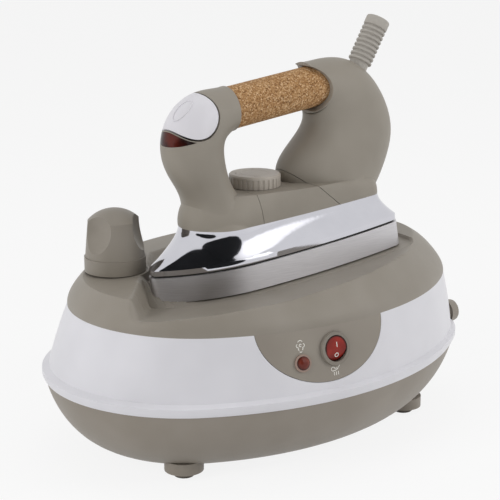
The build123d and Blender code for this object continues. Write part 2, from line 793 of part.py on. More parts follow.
def boot_plane(lift):
    lean = math.radians(BOOT_ANGLE)
    axis = Vector(math.sin(lean), 0, math.cos(lean))
    return Plane(origin=Vector(BOOT_S, 0, BOOT_H) + axis * lift, x_dir=(0, 1, 0), z_dir=axis)


def steam_line(radius):
    top = boot_plane(-BOOT_SPIGOT).origin
    return tube((200.0, 0, SOLE_THICK + 0.8), (top.X, 0, top.Z), radius)


@cache
def deck_cavity():
    inset = WALL + 1.5
    return loft([skirt_section(1, inset), deck_top(inset, WALL + 1.0)], ruled=True)


def split_block(start):
    """Everything behind the front split and below the grip."""
    return Pos(start, 0, 0) * Box(BIG, BIG, 2 * COLUMN_H, align=(Align.MIN, Align.CENTER, Align.CENTER))


def front_shell():
    shell = front_column() + deck()
    shell -= split_block(FRONT_SPLIT - SEAM / 2)
    shell -= below(skirt_plane(1))
    shell -= deck_cavity()
    shell -= side_disc(BUTTON_S, BUTTON_H, BUTTON_R)
    shell -= lens_room(FIT)
    shell -= press_rod(0, PRESS_DEPTH, STEM_R + GAP)
    shell -= grip_rod(GRIP_START - CORE_GRIP, GRIP_START + 1, CORE_R + FIT)
    return shell - dial_axis(0) * extrude(Circle(DIAL_R + 1.0), DIAL_HEIGHT + 4)


def split_plane(lift):
    lean = math.radians(REAR_SPLIT_ANGLE)
    normal = Vector(math.sin(lean), 0, math.cos(lean))
    return Plane(origin=Vector(REAR_SPLIT_TOP, 0, REAR_SPLIT_H) + normal * lift, z_dir=normal)


def dial_saddle():
    saddle = deck() + rear_column()
    saddle -= Pos(FRONT_SPLIT + SEAM / 2 - BIG / 2, 0, 0) * Box(BIG, BIG, BIG)
    saddle -= above(split_plane(-SEAM))
    saddle -= below(skirt_plane(1))
    saddle -= deck_cavity()
    saddle -= dial_axis(0) * extrude(Circle(DIAL_R + 1.0), DIAL_HEIGHT + 4)
    return saddle - dial_axis(-20) * extrude(Circle(SPINDLE_R + GAP), 30)


def rear_shell():
    shell = rear_column() + deck()
    shell -= below(split_plane(0))
    shell -= below(skirt_plane(1))
    shell -= deck_cavity()
    shell -= side_disc(SOCKET_S, GRIP_H, SOCKET_R)
    shell -= grip_rod(GRIP_START, GRIP_END + FIT, GRIP_R + FIT)
    shell -= grip_rod(GRIP_END, GRIP_END + CORE_GRIP, CORE_R + FIT)
    shell -= boot_plane(-BOOT_SPIGOT) * extrude(Circle(BOOT_SPIGOT_R + FIT), BOOT_SPIGOT + 20)
    shell -= boot_plane(0) * extrude(Circle(BOOT_R + 1.5), 40)
    return shell - steam_line(STEAM_TUBE_R + 0.3)


def cork_grip():
    return grip_rod(GRIP_START, GRIP_END, GRIP_R) - grip_rod(GRIP_START, GRIP_END, CORE_R + FIT)


def grip_core():
    start = GRIP_START - CORE_GRIP + FIT
    end = GRIP_END + CORE_GRIP - FIT
    return grip_rod(start, end, CORE_R) - grip_rod(start, end, CORE_R - CORE_WALL)


def steam_button():
    shift = press_vector() * -(BUTTON_GAP / 2 - 0.1)
    disc = side_disc(BUTTON_S + shift.X, BUTTON_H + shift.Z, BUTTON_R - BUTTON_GAP / 2 - 0.3)
    return (front_column() & disc) + press_rod(0, PRESS_DEPTH - SWITCH_LENGTH - BUTTON_GAP - 0.4, STEM_R)


def button_switch():
    return press_rod(PRESS_DEPTH - SWITCH_LENGTH, PRESS_DEPTH, STEM_R + GAP - FIT)


def iron_pilot_lens():
    return front_column() & lens_room(0)


def temperature_dial():
    knob = dial_axis(GAP) * extrude(Circle(DIAL_R), DIAL_HEIGHT)
    knob = chamfer(knob.edges().filter_by(GeomType.CIRCLE).sort_by(Axis.Z)[-1], 1.0)
    for i in range(DIAL_FLUTES):
        turn = 360.0 * i / DIAL_FLUTES
        flute = Rot(0, 0, turn) * Pos(DIAL_R + 0.4, 0, 0) * Cylinder(FLUTE_R, 2 * DIAL_HEIGHT - 5)
        knob -= dial_axis(GAP) * flute
    return knob - dial_axis(GAP) * extrude(Circle(SPINDLE_R + FIT), DIAL_HEIGHT - 3)


def dial_spindle():
    foot = dial_axis(-(DECK_H - SOLE_THICK - THERMOSTAT_H - 1.0))
    reach = (DECK_H - SOLE_THICK - THERMOSTAT_H - 1.0) + GAP + DIAL_HEIGHT - 3
    return foot * extrude(Circle(SPINDLE_R), reach)


def thermostat():
    foot = dial_axis(-(DECK_H - SOLE_THICK))
    return Pos(foot.origin.X, 0, SOLE_THICK) * upright(13.0, THERMOSTAT_H)


def steam_tube():
    return steam_line(STEAM_TUBE_R) - steam_line(STEAM_TUBE_R - 1.5)


def hose_boot():
    """Ribbed rubber sleeve, with a spigot in the rear shell and a smooth collar at its end."""
    boot = boot_plane(-BOOT_SPIGOT) * extrude(Circle(BOOT_SPIGOT_R), BOOT_SPIGOT)
    length = BOOT_RIBS * BOOT_PITCH
    boot += boot_plane(0) * extrude(Circle(BOOT_R - BOOT_RIB_DEPTH), length)
    for i in range(BOOT_RIBS):
        boot += boot_plane(i * BOOT_PITCH) * extrude(Circle(BOOT_R), 0.6 * BOOT_PITCH)
    boot += boot_plane(length) * extrude(Circle(BOOT_R), BOOT_END)
    return boot - boot_plane(-BOOT_SPIGOT) * extrude(Circle(BOOT_BORE_R), BOOT_SPIGOT + length + BOOT_END)


BASE_NODES = {
    "bottom_tray": bottom_tray,
    "rubber_feet": rubber_feet,
    "band_housing": band_housing,
    "control_panel": control_panel,
    "top_cover": top_cover,
    "rest_mat": rest_mat,
    "boiler_tank": boiler_tank,
    "boiler_neck": boiler_neck,
    "boiler_heater": boiler_heater,
    "boiler_posts": boiler_posts,
    "thermal_cutout": thermal_cutout,
    "pressure_switch": pressure_switch,
    "solenoid_valve": solenoid_valve,
    "steam_pipe": steam_pipe,
    "terminal_block": terminal_block,
    "rear_gland": rear_gland,
    "switch_bezel": switch_bezel,
    "switch_body": switch_body,
    "rocker_switch": rocker_switch,
    "pilot_lamp_ring": pilot_lamp_ring,
    "pilot_lamp_lens": pilot_lamp_lens,
    "cap_knob": cap_knob,
    "cap_plug": cap_plug,
    "cap_gasket": cap_gasket,
}
IRON_NODES = {
    "soleplate": soleplate,
    "heating_element": heating_element,
    "skirt_gasket": skirt_gasket,
    "chrome_skirt": chrome_skirt,
    "heat_shield": heat_shield,
    "front_shell": front_shell,
    "dial_saddle": dial_saddle,
    "rear_shell": rear_shell,
    "cork_grip": cork_grip,
    "grip_core": grip_core,
    "steam_button": steam_button,
    "button_switch": button_switch,
    "iron_pilot_lens": iron_pilot_lens,
    "temperature_dial": temperature_dial,
    "dial_spindle": dial_spindle,
    "thermostat": thermostat,
    "steam_tube": steam_tube,
    "hose_boot": hose_boot,
}


def save(name, shape, place):
    solids = shape if isinstance(shape, list) else [shape]
    placed = [place * solid for solid in solids]
    export_step(placed[0] if len(placed) == 1 else Compound(children=placed), "parts/" + name + ".step")


os.makedirs("parts", exist_ok=True)
for name, make in BASE_NODES.items():
    save(name, make(), Location())
for name, make in IRON_NODES.items():
    save(name, make(), IRON)
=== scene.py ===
import math
import bmesh
import bpy
from mathutils import Matrix, Vector
from mathutils.bvhtree import BVHTree


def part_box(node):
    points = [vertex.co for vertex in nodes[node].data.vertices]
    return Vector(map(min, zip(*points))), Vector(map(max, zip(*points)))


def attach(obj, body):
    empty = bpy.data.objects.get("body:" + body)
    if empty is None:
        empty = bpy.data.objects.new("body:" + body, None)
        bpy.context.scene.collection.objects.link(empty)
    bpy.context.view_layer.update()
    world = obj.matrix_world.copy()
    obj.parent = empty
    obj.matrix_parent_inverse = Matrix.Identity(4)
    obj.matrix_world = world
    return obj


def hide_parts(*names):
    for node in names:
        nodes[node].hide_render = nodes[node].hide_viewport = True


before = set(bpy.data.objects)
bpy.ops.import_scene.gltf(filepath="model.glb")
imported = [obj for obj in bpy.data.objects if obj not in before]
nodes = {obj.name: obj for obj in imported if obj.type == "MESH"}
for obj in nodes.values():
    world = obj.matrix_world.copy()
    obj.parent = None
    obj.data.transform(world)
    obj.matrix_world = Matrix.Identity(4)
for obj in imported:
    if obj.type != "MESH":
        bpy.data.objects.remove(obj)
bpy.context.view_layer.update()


# The bottom tray is the tapering tub that the station stands in, injection moulded in taupe ABS.
# The mould was spark eroded, which leaves an even fine grain and a soft, wide highlight.
# The grain is about 0.4 mm on the real tray, and is drawn at 1.3 mm so that it shows.
def linear(colour):
    """Linear RGBA of an sRGB hex colour."""
    parts = [int(colour[i:i + 2], 16) / 255 for i in (1, 3, 5)]
    return [c / 12.92 if c <= 0.04045 else ((c + 0.055) / 1.055) ** 2.4 for c in parts] + [1.0]


def fit_node(tree, node, settings, links):
    """Sets and links a node. A socket goes by its name, or by its number where names repeat, and the
    stops of a colour ramp are pairs of a position and a colour."""
    for name, value in settings.items():
        if name == "stops":
            ramp = node.color_ramp.elements
            for end, (position, colour) in zip((ramp[0], ramp[1]), (value[0], value[-1])):
                end.position = position
                end.color = linear(colour)
            for position, colour in value[1:-1]:
                ramp.new(position).color = linear(colour)
        elif isinstance(name, int) or name in node.inputs:
            node.inputs[name].default_value = value
        else:
            setattr(node, name, value)
    for name, source in links.items():
        tree.links.new(source, node.inputs[name])
    return node


def add_node(tree, kind, settings, links):
    return fit_node(tree, tree.nodes.new(kind), settings, links)


def new_material(name):
    """A material with its node tree, its shader and the place of each point in the object's frame."""
    material = bpy.data.materials.new(name)
    material.use_nodes = True
    tree = material.node_tree
    shader = tree.nodes["Principled BSDF"]
    where = tree.nodes.new("ShaderNodeTexCoord").outputs["Object"]
    return material, tree, shader, where


def moulded_plastic(name, light, dark, roughness, grain_mm, depth_mm):
    """ABS from a grained mould: a faint drift in tone over 45 mm, and the grain in gloss and relief."""
    material, tree, shader, where = new_material(name)
    drift = add_node(tree, "ShaderNodeTexNoise", {"Scale": 1000 / 45, "Detail": 2.0}, {"Vector": where})
    tone = add_node(tree, "ShaderNodeValToRGB", {"stops": [(0.3, dark), (0.7, light)]},
                    {"Fac": drift.outputs["Fac"]})
    grain = add_node(tree, "ShaderNodeTexNoise", {"Scale": 1000 / grain_mm, "Detail": 3.0},
                     {"Vector": where})
    gloss = add_node(tree, "ShaderNodeMapRange", {"To Min": roughness - 0.06, "To Max": roughness + 0.06},
                     {"Value": grain.outputs["Fac"]})
    relief = add_node(tree, "ShaderNodeBump", {"Strength": 0.35, "Distance": depth_mm / 1000},
                      {"Height": grain.outputs["Fac"]})
    fit_node(tree, shader, {"IOR": 1.53}, {"Base Color": tone.outputs["Color"],
             "Roughness": gloss.outputs["Result"], "Normal": relief.outputs["Normal"]})
    return material


def dress(node, material, crease=30):
    """Gives a CAD piece its material, and shades its facets as the smooth faces they stand for."""
    piece = nodes[node]
    piece.data.materials.clear()
    piece.data.materials.append(material)
    piece.data.polygons.foreach_set("use_smooth", [True] * len(piece.data.polygons))
    weld = piece.modifiers.new("joined_facets", "WELD")
    weld.merge_threshold = 0.000002
    split = piece.modifiers.new("crisp_edges", "EDGE_SPLIT")
    split.split_angle = math.radians(crease)
    return piece


taupe_abs = moulded_plastic("taupe_abs_spark_grained", "#948c82", "#8a8277", 0.5, 1.3, 0.05)
dress("bottom_tray", taupe_abs)


# Round rubber feet, pressed into the lugs under the tray. They are moulded in nitrile rubber, whose dull
# face is greyed by a film of dust in patches of about 6 mm.
foot_rubber, tree, shader, where = new_material("nitrile_rubber_moulded")
dust = add_node(tree, "ShaderNodeTexNoise", {"Scale": 1000 / 6, "Detail": 4.0}, {"Vector": where})
tone = add_node(tree, "ShaderNodeValToRGB", {"stops": [(0, "#5d5851"), (1, "#79736a")]},
                {"Fac": dust.outputs["Fac"]})
fit_node(tree, shader, {"Roughness": 0.8, "IOR": 1.52}, {"Base Color": tone.outputs["Color"]})
dress("rubber_feet", foot_rubber)


# The white band is the wall of the base, one hoop of white ABS with a rail along its foot.
# Its mould was polished, so it has a satin gloss and only a trace of flow marks.
white_abs = moulded_plastic("white_abs_satin", "#e2e1e6", "#dbdadf", 0.34, 2.5, 0.012)
dress("band_housing", white_abs)


# The control panel is a taupe apron let into the band under the lid's seam, with white pad-printed
# signs: a puff of steam over the lamp, and an iron with jets of steam under the switch.
# The ink is dull and slightly broken, and stands a little higher here than real ink does.
panel_abs = moulded_plastic("taupe_abs_fine", "#928b80", "#8b8379", 0.46, 1.3, 0.03)
dress("control_panel", panel_abs)
print_ink, tree, shader, where = new_material("pad_printing_ink_white")
speckle = add_node(tree, "ShaderNodeTexNoise", {"Scale": 1000 / 0.5}, {"Vector": where})
tone = add_node(tree, "ShaderNodeValToRGB", {"stops": [(0, "#dedbd2"), (1, "#f4f2ec")]},
                {"Fac": speckle.outputs["Fac"]})
fit_node(tree, shader, {"Roughness": 0.6, "IOR": 1.5}, {"Base Color": tone.outputs["Color"]})


def line_work(name, strokes, width_mm, place, squeeze=0.35):
    """Thin raised lines through points in millimetres, drawn flat and then put in their place. A stroke
    is a pair: whether it closes, and its points."""
    curve = bpy.data.curves.new(name, "CURVE")
    curve.dimensions = "3D"
    curve.bevel_depth = width_mm / 2000
    curve.bevel_resolution = 2
    curve.use_fill_caps = True
    for closed, points in strokes:
        spline = curve.splines.new("POLY")
        spline.points.add(len(points) - 1)
        for point, at in zip(spline.points, points):
            point.co = (at[0] / 1000, at[1] / 1000, (at[2] if len(at) > 2 else 0.0) / 1000, 1.0)
        spline.use_cyclic_u = closed
    drawn = bpy.data.objects.new(name, curve)
    mesh = bpy.data.meshes.new_from_object(drawn)
    bpy.data.objects.remove(drawn)
    mesh.transform(place @ Matrix.Scale(squeeze, 4, (0, 0, 1)))
    mesh.name = name
    mesh.polygons.foreach_set("use_smooth", [True] * len(mesh.polygons))
    piece = bpy.data.objects.new(name, mesh)
    bpy.context.scene.collection.objects.link(piece)
    return piece


def on_wall(origin_mm, along, normal):
    """Frame on a face: x along it, y up it and z out of it."""
    out = Vector(normal).normalized()
    side = Vector(along).normalized()
    turn = Matrix((side, out.cross(side), out)).transposed().to_4x4()
    return Matrix.Translation(Vector(origin_mm) / 1000) @ turn


def arc(cx, cy, radius, start, end, steps=10):
    """Points on a round stretch between two angles in degrees."""
    turns = [math.radians(start + (end - start) * i / steps) for i in range(steps + 1)]
    return [(cx + radius * math.cos(t), cy + radius * math.sin(t)) for t in turns]


ink_mm = 0.6
puff = [
    (False, arc(0, 2.3, 2.0, 30, 155)),
    (False, arc(-2.0, 0.5, 1.3, 105, 275)),
    (False, arc(2.0, 0.5, 1.3, -95, 75)),
    (False, arc(0, 0.7, 0.9, 20, 320, 12)),
    (False, arc(-1.0, -1.9, 0.9, 110, 260)),
    (False, arc(1.0, -1.9, 0.9, -80, 70)),
    (False, arc(0, -3.5, 0.9, 195, 345)),
]
over_lamp = on_wall((-51.39, -115.14, 105.71), (0.97224, -0.234, 0), (-0.2069, -0.9446, 0.2547))
steam_sign = line_work("steam_sign", puff, ink_mm, over_lamp)
steam_sign.data.materials.append(print_ink)
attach(steam_sign, "base")
iron_and_jets = [
    (False, arc(-2.2, 0.9, 1.5, 20, 300)),
    (False, [(-1.5, -0.4), (0.4, -0.3), (2.0, 0.5), (2.6, 1.5)]),
    (False, [(-0.8, 1.4), (0.6, 0.9), (1.6, 1.6)]),
    (False, [(2.6, 1.5), (3.6, 2.2), (4.1, 3.6)]),
] + [(False, [(x, -1.3), (x + 0.4, -2.3), (x + 0.1, -3.2), (x + 0.5, -4.0)]) for x in (-1.6, 0.3, 2.2)]
under_switch = on_wall((-24.71, -123.89, 84.46), (0.99727, -0.07385, 0), (-0.0828, -0.9815, 0.1726))
jets_sign = line_work("jets_sign", iron_and_jets, ink_mm, under_switch)
jets_sign.data.materials.append(print_ink)
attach(jets_sign, "base")


# The main switch: a round taupe bezel snapped into the apron round a red rocker that a glow lamp lights.
# The rocker is clear red polycarbonate with a polished face, and its marks are hot stamped.
bezel_abs = moulded_plastic("taupe_abs_bezel", "#857e74", "#7d766c", 0.42, 1.3, 0.02)
dress("switch_bezel", bezel_abs)
dress("switch_body", moulded_plastic("phenolic_black", "#35322f", "#2b2926", 0.5, 1.2, 0.03))


def clear_plastic(name, light, dark, rim, roughness, place, unshaded_mm, full_shade_mm):
    """Tinted polycarbonate under a polished face: its colour shifts through its depth, and towards its edge
    a painted shade darkens it to the rim colour, between two radii from the place."""
    material, tree, shader, where = new_material(name)
    depth = add_node(tree, "ShaderNodeTexNoise", {"Scale": 1000 / 9, "Detail": 1.5}, {"Vector": where})
    tone = add_node(tree, "ShaderNodeValToRGB", {"stops": [(0.35, dark), (0.68, light)]},
                    {"Fac": depth.outputs["Fac"]})
    face = add_node(tree, "ShaderNodeMapping", {"vector_type": "TEXTURE", "Location": place.translation,
                    "Rotation": place.to_euler()}, {"Vector": where})
    flat = add_node(tree, "ShaderNodeVectorMath", {"operation": "MULTIPLY", 1: (1, 1, 0)},
                    {0: face.outputs["Vector"]})
    reach = add_node(tree, "ShaderNodeVectorMath", {"operation": "LENGTH"}, {0: flat.outputs["Vector"]})
    # Painted shade: past the first radius from the place's axis the colour darkens, and from the second it
    # is the rim colour.
    edge = add_node(tree, "ShaderNodeMapRange", {"From Min": unshaded_mm / 1000, "From Max": full_shade_mm / 1000},
                    {"Value": reach.outputs["Value"]})
    colour = add_node(tree, "ShaderNodeMix", {"data_type": "RGBA", 7: linear(rim)},
                      {0: edge.outputs["Result"], 6: tone.outputs["Color"]})
    fit_node(tree, shader, {"Roughness": roughness, "IOR": 1.58, "Specular IOR Level": 0.22},
             {"Base Color": colour.outputs[2]})
    return material


switch_face = on_wall((-23.0, -120.784, 100.0), (0.996197, -0.087132, 0), (-0.084892, -0.970595, 0.225253))
# The rocker darkens towards its edge by a painted shade, for the shadow in the gap round the key.
rocker_red = clear_plastic("polycarbonate_red", "#982a1f", "#7c1f17", "#200806", 0.25, switch_face,
                           7.9, 9.4)
dress("rocker_switch", rocker_red)
rocker_lean, key_proud, stamp_mm = math.radians(11), 0.0022, 0.75
key = switch_face @ Matrix.Rotation(rocker_lean, 4, "X") @ Matrix.Translation((0, 0, key_proud))
upper_half = key @ Matrix.Rotation(-rocker_lean, 4, "X")
lower_half = key @ Matrix.Rotation(rocker_lean, 4, "X")
on_mark = line_work("rocker_on_mark", [(False, [(0.8, 1.4), (0.8, 5.2)])], stamp_mm, upper_half)
off_mark = line_work("rocker_off_mark", [(True, arc(0.8, -5.0, 1.5, 0, 342, 19))], stamp_mm, lower_half)
for mark in (on_mark, off_mark):
    mark.data.materials.append(print_ink)
    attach(mark, "rocker")


# The pilot lamp is a low red jewel in a thin pale ring, pushed through the apron.
# The jewel is tinted polycarbonate, browner than the rocker while it isn't lit.
dress("pilot_lamp_ring", moulded_plastic("abs_pale_rose", "#9c8579", "#90796d", 0.4, 1.0, 0.01))
lamp_face = on_wall((-51.3, -117.9, 93.6), (0.97224, -0.234, 0), (-0.2162, -0.9447, 0.2465))
# The jewel darkens towards its edge by a painted shade.
jewel_red = clear_plastic("polycarbonate_red_brown", "#8d4535", "#66291f", "#2c0f0b", 0.2, lamp_face,
                          3.6, 5.4)
dress("pilot_lamp_lens", jewel_red)


# The rear gland is a taupe collar with an open bore, pushed through the band's rear wall.
# It is moulded in the tray's ABS and has the same grain.
dress("rear_gland", taupe_abs)


# Inside the base: a drawn stainless boiler on steel posts with its brass neck, and a heater plate,
# cut-out, pressure switch, valve, pipe and terminals round it.
def worked_metal(name, light, dark, roughness, grain_mm, stretch):
    """Bare metal with fine tool marks, drawn out along one way by the stretch."""
    material, tree, shader, where = new_material(name)
    drawn = add_node(tree, "ShaderNodeMapping", {"Scale": stretch}, {"Vector": where})
    marks = add_node(tree, "ShaderNodeTexNoise", {"Scale": 1000 / grain_mm, "Detail": 4.0},
                     {"Vector": drawn.outputs["Vector"]})
    tone = add_node(tree, "ShaderNodeValToRGB", {"stops": [(0, dark), (1, light)]},
                    {"Fac": marks.outputs["Fac"]})
    gloss = add_node(tree, "ShaderNodeMapRange", {"To Min": roughness - 0.07, "To Max": roughness + 0.07},
                     {"Value": marks.outputs["Fac"]})
    fit_node(tree, shader, {"Metallic": 1.0},
             {"Base Color": tone.outputs["Color"], "Roughness": gloss.outputs["Result"]})
    return material


stainless = worked_metal("stainless_drawn", "#c6c6c8", "#a9a9ac", 0.32, 0.9, (1, 1, 0.06))
steel = worked_metal("steel_rolled", "#a2a2a4", "#858588", 0.4, 0.9, (0.06, 1, 1))
brass = worked_metal("brass_turned", "#c9a964", "#ab8d4c", 0.3, 0.8, (1, 1, 0.1))
phenolic = moulded_plastic("phenolic_brown_black", "#3a3632", "#2e2b28", 0.5, 1.2, 0.03)
silicone = moulded_plastic("silicone_grey", "#77726b", "#6c6760", 0.62, 1.5, 0.02)
for material, inner_nodes in (
        (stainless, ("boiler_tank", "steam_tube")),
        (steel, ("boiler_heater", "boiler_posts", "pressure_switch")),
        (brass, ("boiler_neck", "cap_plug")),
        (phenolic, ("thermal_cutout", "solenoid_valve", "terminal_block")),
        (silicone, ("steam_pipe", "cap_gasket", "rest_mat"))):
    for node in inner_nodes:
        dress(node, material)


# The lid of the base, a domed moulding of the tray's taupe ABS with a dish for the iron and a round seat
# for the filler cap. Towards the near side the dish opens in a shallow shelf, which falls from the lid's
# edge to the iron. It ends at a straight ridge in front of the cap, and closes beside the iron's heel.
cover_abs = moulded_plastic("taupe_abs_lid", "#958e84", "#8c857a", 0.48, 1.3, 0.045)
dish_far_y, dish_low_z, flank_z = 0.08, 0.128, 0.118
grid_mm, grid_x, grid_y = 3, (-171, 174), (-117, 78)
sole_edge = [(-0.1026, 0.0), (-0.100, 0.0064), (-0.068, 0.026), (-0.033, 0.0425), (0.037, 0.052),
             (0.103, 0.052)]
nose_x, nose_z, rest_slope = sole_edge[0][0], 0.1201, 0.1171
shelf_rise, shelf_margin, wall = 0.2, 0.007, 0.0026
near_y, near_blend, heel_x, heel_blend = 0.008, 0.02, 0.116, 0.022
ridge_x, ridge_y, ridge_out, ridge_lead, ridge_width = -0.149, -0.039, (0.756, -0.655), 0.0015, 0.0105
cap_x, cap_y, seat_r = -0.110, 0.041, 0.0262
crown_z, crown_slope, crown_from_x, crown_to_x, crown_far_y = 0.1399, 0.0375, -0.137, -0.05, 0.07
before_seat_y, past_seat_x, overhang = 0.03, -0.095, -0.2


def eased(value):
    """Smooth step from 0 to 1."""
    value = min(max(value, 0.0), 1.0)
    return value * value * (3 - 2 * value)


def off_iron(x, y):
    """Distance in plan from the near edge of the soleplate."""
    best = 1.0
    for (ax, ay), (bx, by) in zip(sole_edge, sole_edge[1:]):
        run = Vector((bx - ax, ay - by))
        from_start = Vector((x - ax, y + ay))
        share = min(max(from_start.dot(run) / run.length_squared, 0.0), 1.0)
        best = min(best, (from_start - run * share).length)
    return best


def beside_cap(x, y):
    """True between the cap's round seat and the ridge, and a little way round the seat."""
    off_seat = math.hypot(x - cap_x, y - cap_y) > seat_r and (y < before_seat_y or x > past_seat_x)
    return off_seat and crown_from_x < x < crown_to_x and y < crown_far_y


def finished(name, shape, material, crease=None):
    """Makes an object of a modelled shape, where it lies. With a crease angle it is smooth between edges."""
    mesh = bpy.data.meshes.new(name)
    shape.to_mesh(mesh)
    shape.free()
    mesh.materials.append(material)
    made = bpy.data.objects.new(name, mesh)
    bpy.context.scene.collection.objects.link(made)
    if crease is not None:
        mesh.polygons.foreach_set("use_smooth", [True] * len(mesh.polygons))
        split = made.modifiers.new("crisp_edges", "EDGE_SPLIT")
        split.split_angle = math.radians(crease)
    return made


lid = bmesh.new()
lid.from_mesh(nodes["top_cover"].data)
bmesh.ops.remove_doubles(lid, verts=lid.verts, dist=0.000002)
dish = [f for f in lid.faces
        if f.calc_center_median().y < dish_far_y and max(v.co.z for v in f.verts) > dish_low_z]
dish_edges = list(dict.fromkeys(e for f in dish for e in f.edges))
dish_corners = list(dict.fromkeys(v for f in dish for v in f.verts))
dish += dish_edges + dish_corners
for across, (low, high) in ((Vector((1, 0, 0)), grid_x), (Vector((0, 1, 0)), grid_y)):
    for at in range(low, high, grid_mm):
        dish = bmesh.ops.bisect_plane(lid, geom=dish, dist=0.0000001, plane_co=across * (at / 1000),
                                      plane_no=across)["geom"]
lid.normal_update()
for point in lid.verts:
    x, y, z = point.co
    past_ridge = (x - ridge_x) * ridge_out[0] + (y - ridge_y) * ridge_out[1]
    ridge = 1 - eased((past_ridge + ridge_lead) / ridge_width)
    floor_z = nose_z + (x - nose_x) * rest_slope
    shelf_z = floor_z + shelf_rise * max(off_iron(x, y) - shelf_margin, 0.0)
    if point.normal.z < 0:
        shelf_z -= wall
    if z > shelf_z and z > flank_z:
        opened = (1 - ridge) * eased((near_y - y) / near_blend) * eased((heel_x - x) / heel_blend)
        point.co.z = z + (shelf_z - z) * opened
    if beside_cap(x, y) and ridge > 0 and point.normal.z > overhang and z > flank_z:
        crown = crown_z + (x - cap_x) * crown_slope
        point.co.z = max(point.co.z, floor_z + (crown - floor_z) * ridge)
lid.normal_update()
dished_lid = finished("dished_lid", lid, cover_abs, 40)
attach(dished_lid, "base")
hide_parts("top_cover")


# The filler cap, a tall screw cap with hollows for finger and thumb, over a brass plug.
# It is moulded in taupe ABS, a shade darker than the lid.
dress("cap_knob", moulded_plastic("taupe_abs_cap", "#8f887e", "#857e73", 0.46, 1.2, 0.04))


# The soleplate, cast aluminium with a ground rim, whose fine marks draw reflections out into soft bands.
# A tubular heating element is pressed into its upper face, and a black seal, a steel shield and the
# thermostat lie on it.
ground_rim = worked_metal("aluminium_ground", "#e4e2e4", "#c8c6c9", 0.46, 0.7, (0.05, 0.05, 1))
tree = ground_rim.node_tree
around = add_node(tree, "ShaderNodeTangent", {"direction_type": "RADIAL", "axis": "Z"}, {})
fit_node(tree, tree.nodes["Principled BSDF"], {"Anisotropic": 0.85, "Anisotropic Rotation": 0.25},
         {"Tangent": around.outputs["Tangent"]})
dress("soleplate", ground_rim)
dress("skirt_gasket", moulded_plastic("silicone_black", "#24221f", "#1c1a18", 0.6, 1.5, 0.02))
for node in ("heating_element", "heat_shield", "thermostat"):
    dress(node, steel)


# The skirt, one deep-drawn flare of steel, polished and chromed to a mirror.
# A faint haze, in patches of about 18 mm, keeps the mirror from being perfect.
chrome, tree, shader, where = new_material("chrome_plated_steel")
haze = add_node(tree, "ShaderNodeTexNoise", {"Scale": 1000 / 18, "Detail": 3.0}, {"Vector": where})
gloss = add_node(tree, "ShaderNodeMapRange", {"To Min": 0.05, "To Max": 0.11},
                 {"Value": haze.outputs["Fac"]})
tone = add_node(tree, "ShaderNodeValToRGB", {"stops": [(0, "#c8c8cf"), (1, "#d3d3d9")]},
                {"Fac": haze.outputs["Fac"]})
fit_node(tree, shader, {"Metallic": 1.0},
         {"Base Color": tone.outputs["Color"], "Roughness": gloss.outputs["Result"]})
dress("chrome_skirt", chrome, 40)


# The iron's housing: a front shell, a saddle under the dial and a rear shell, screwed together along
# fine seams. Heat-proof polymer with a slightly coarser grain than the base.
iron_abs = moulded_plastic("pbt_taupe_grained", "#979085", "#8d867b", 0.5, 1.4, 0.05)
for node in ("front_shell", "dial_saddle", "rear_shell"):
    dress(node, iron_abs, 35)


# The temperature dial, a fluted knob on a steel spindle, with raised dots for the heat settings, a raised
# ring and a raised pointer, all moulded in one with it.
dial_abs = moulded_plastic("pbt_taupe_dial", "#b7afa5", "#aba398", 0.45, 1.2, 0.03)
dress("temperature_dial", dial_abs)
dress("dial_spindle", steel)
dial_place = Matrix.Translation((-0.00412, 0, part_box("temperature_dial")[1].z))
dot_circle_r, dot_r, dot_flatness, dot_step = 0.0150, 0.0008, 0.45, 7
ring_mm, ring_line_mm, pointer_mm = 11.0, 0.7, ((-10.8, 0), (-17.6, 0))
dots = bmesh.new()
for group, turn in ((1, 60), (2, 150), (3, 240)):
    for i in range(group):
        at = math.radians(turn + dot_step * (i - (group - 1) / 2))
        spot = Matrix.Translation((dot_circle_r * math.cos(at), dot_circle_r * math.sin(at), 0))
        bmesh.ops.create_uvsphere(dots, u_segments=12, v_segments=6, radius=dot_r,
                                  matrix=dial_place @ spot @ Matrix.Scale(dot_flatness, 4, (0, 0, 1)))
dial_dots = finished("dial_dots", dots, dial_abs)
ring_and_pointer = [(True, arc(0, 0, ring_mm, 0, 354, 59)), (False, pointer_mm)]
ring = line_work("dial_ring", ring_and_pointer, ring_line_mm, dial_place)
ring.data.materials.append(dial_abs)
for piece in (dial_dots, ring):
    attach(piece, "dial")


# The grip, a turned sleeve of pressed cork on a steel core. Granules of about 1 mm lie close together,
# with dark bark specks and pale flecks among them, and fine pits between them.
cork, tree, shader, where = new_material("cork_agglomerate_turned")
granules = add_node(tree, "ShaderNodeTexVoronoi", {"Scale": 1000 / 1.0, "Randomness": 1.0},
                    {"Vector": where})
shade = add_node(tree, "ShaderNodeSeparateColor", {}, {"Color": granules.outputs["Color"]})
cork_tones = [(0, "#7a5430"), (0.15, "#93693f"), (0.45, "#ad8355"), (0.8, "#bd966a"), (1, "#dbbb93")]
tone = add_node(tree, "ShaderNodeValToRGB", {"stops": cork_tones}, {"Fac": shade.outputs["Red"]})
bark = add_node(tree, "ShaderNodeTexNoise", {"Scale": 1000 / 1.3, "Detail": 3.0}, {"Vector": where})
specks = add_node(tree, "ShaderNodeMapRange", {"From Min": 0.62, "From Max": 0.7},
                  {"Value": bark.outputs["Fac"]})
colour = add_node(tree, "ShaderNodeMix", {"data_type": "RGBA", 7: linear("#5d3f25")},
                  {0: specks.outputs["Result"], 6: tone.outputs["Color"]})
pits = add_node(tree, "ShaderNodeBump", {"Strength": 0.4, "Distance": 0.0002},
                {"Height": granules.outputs["Distance"]})
fit_node(tree, shader, {"Roughness": 0.78, "IOR": 1.45},
         {"Base Color": colour.outputs[2], "Normal": pits.outputs["Normal"]})
dress("cork_grip", cork)
dress("grip_core", steel)


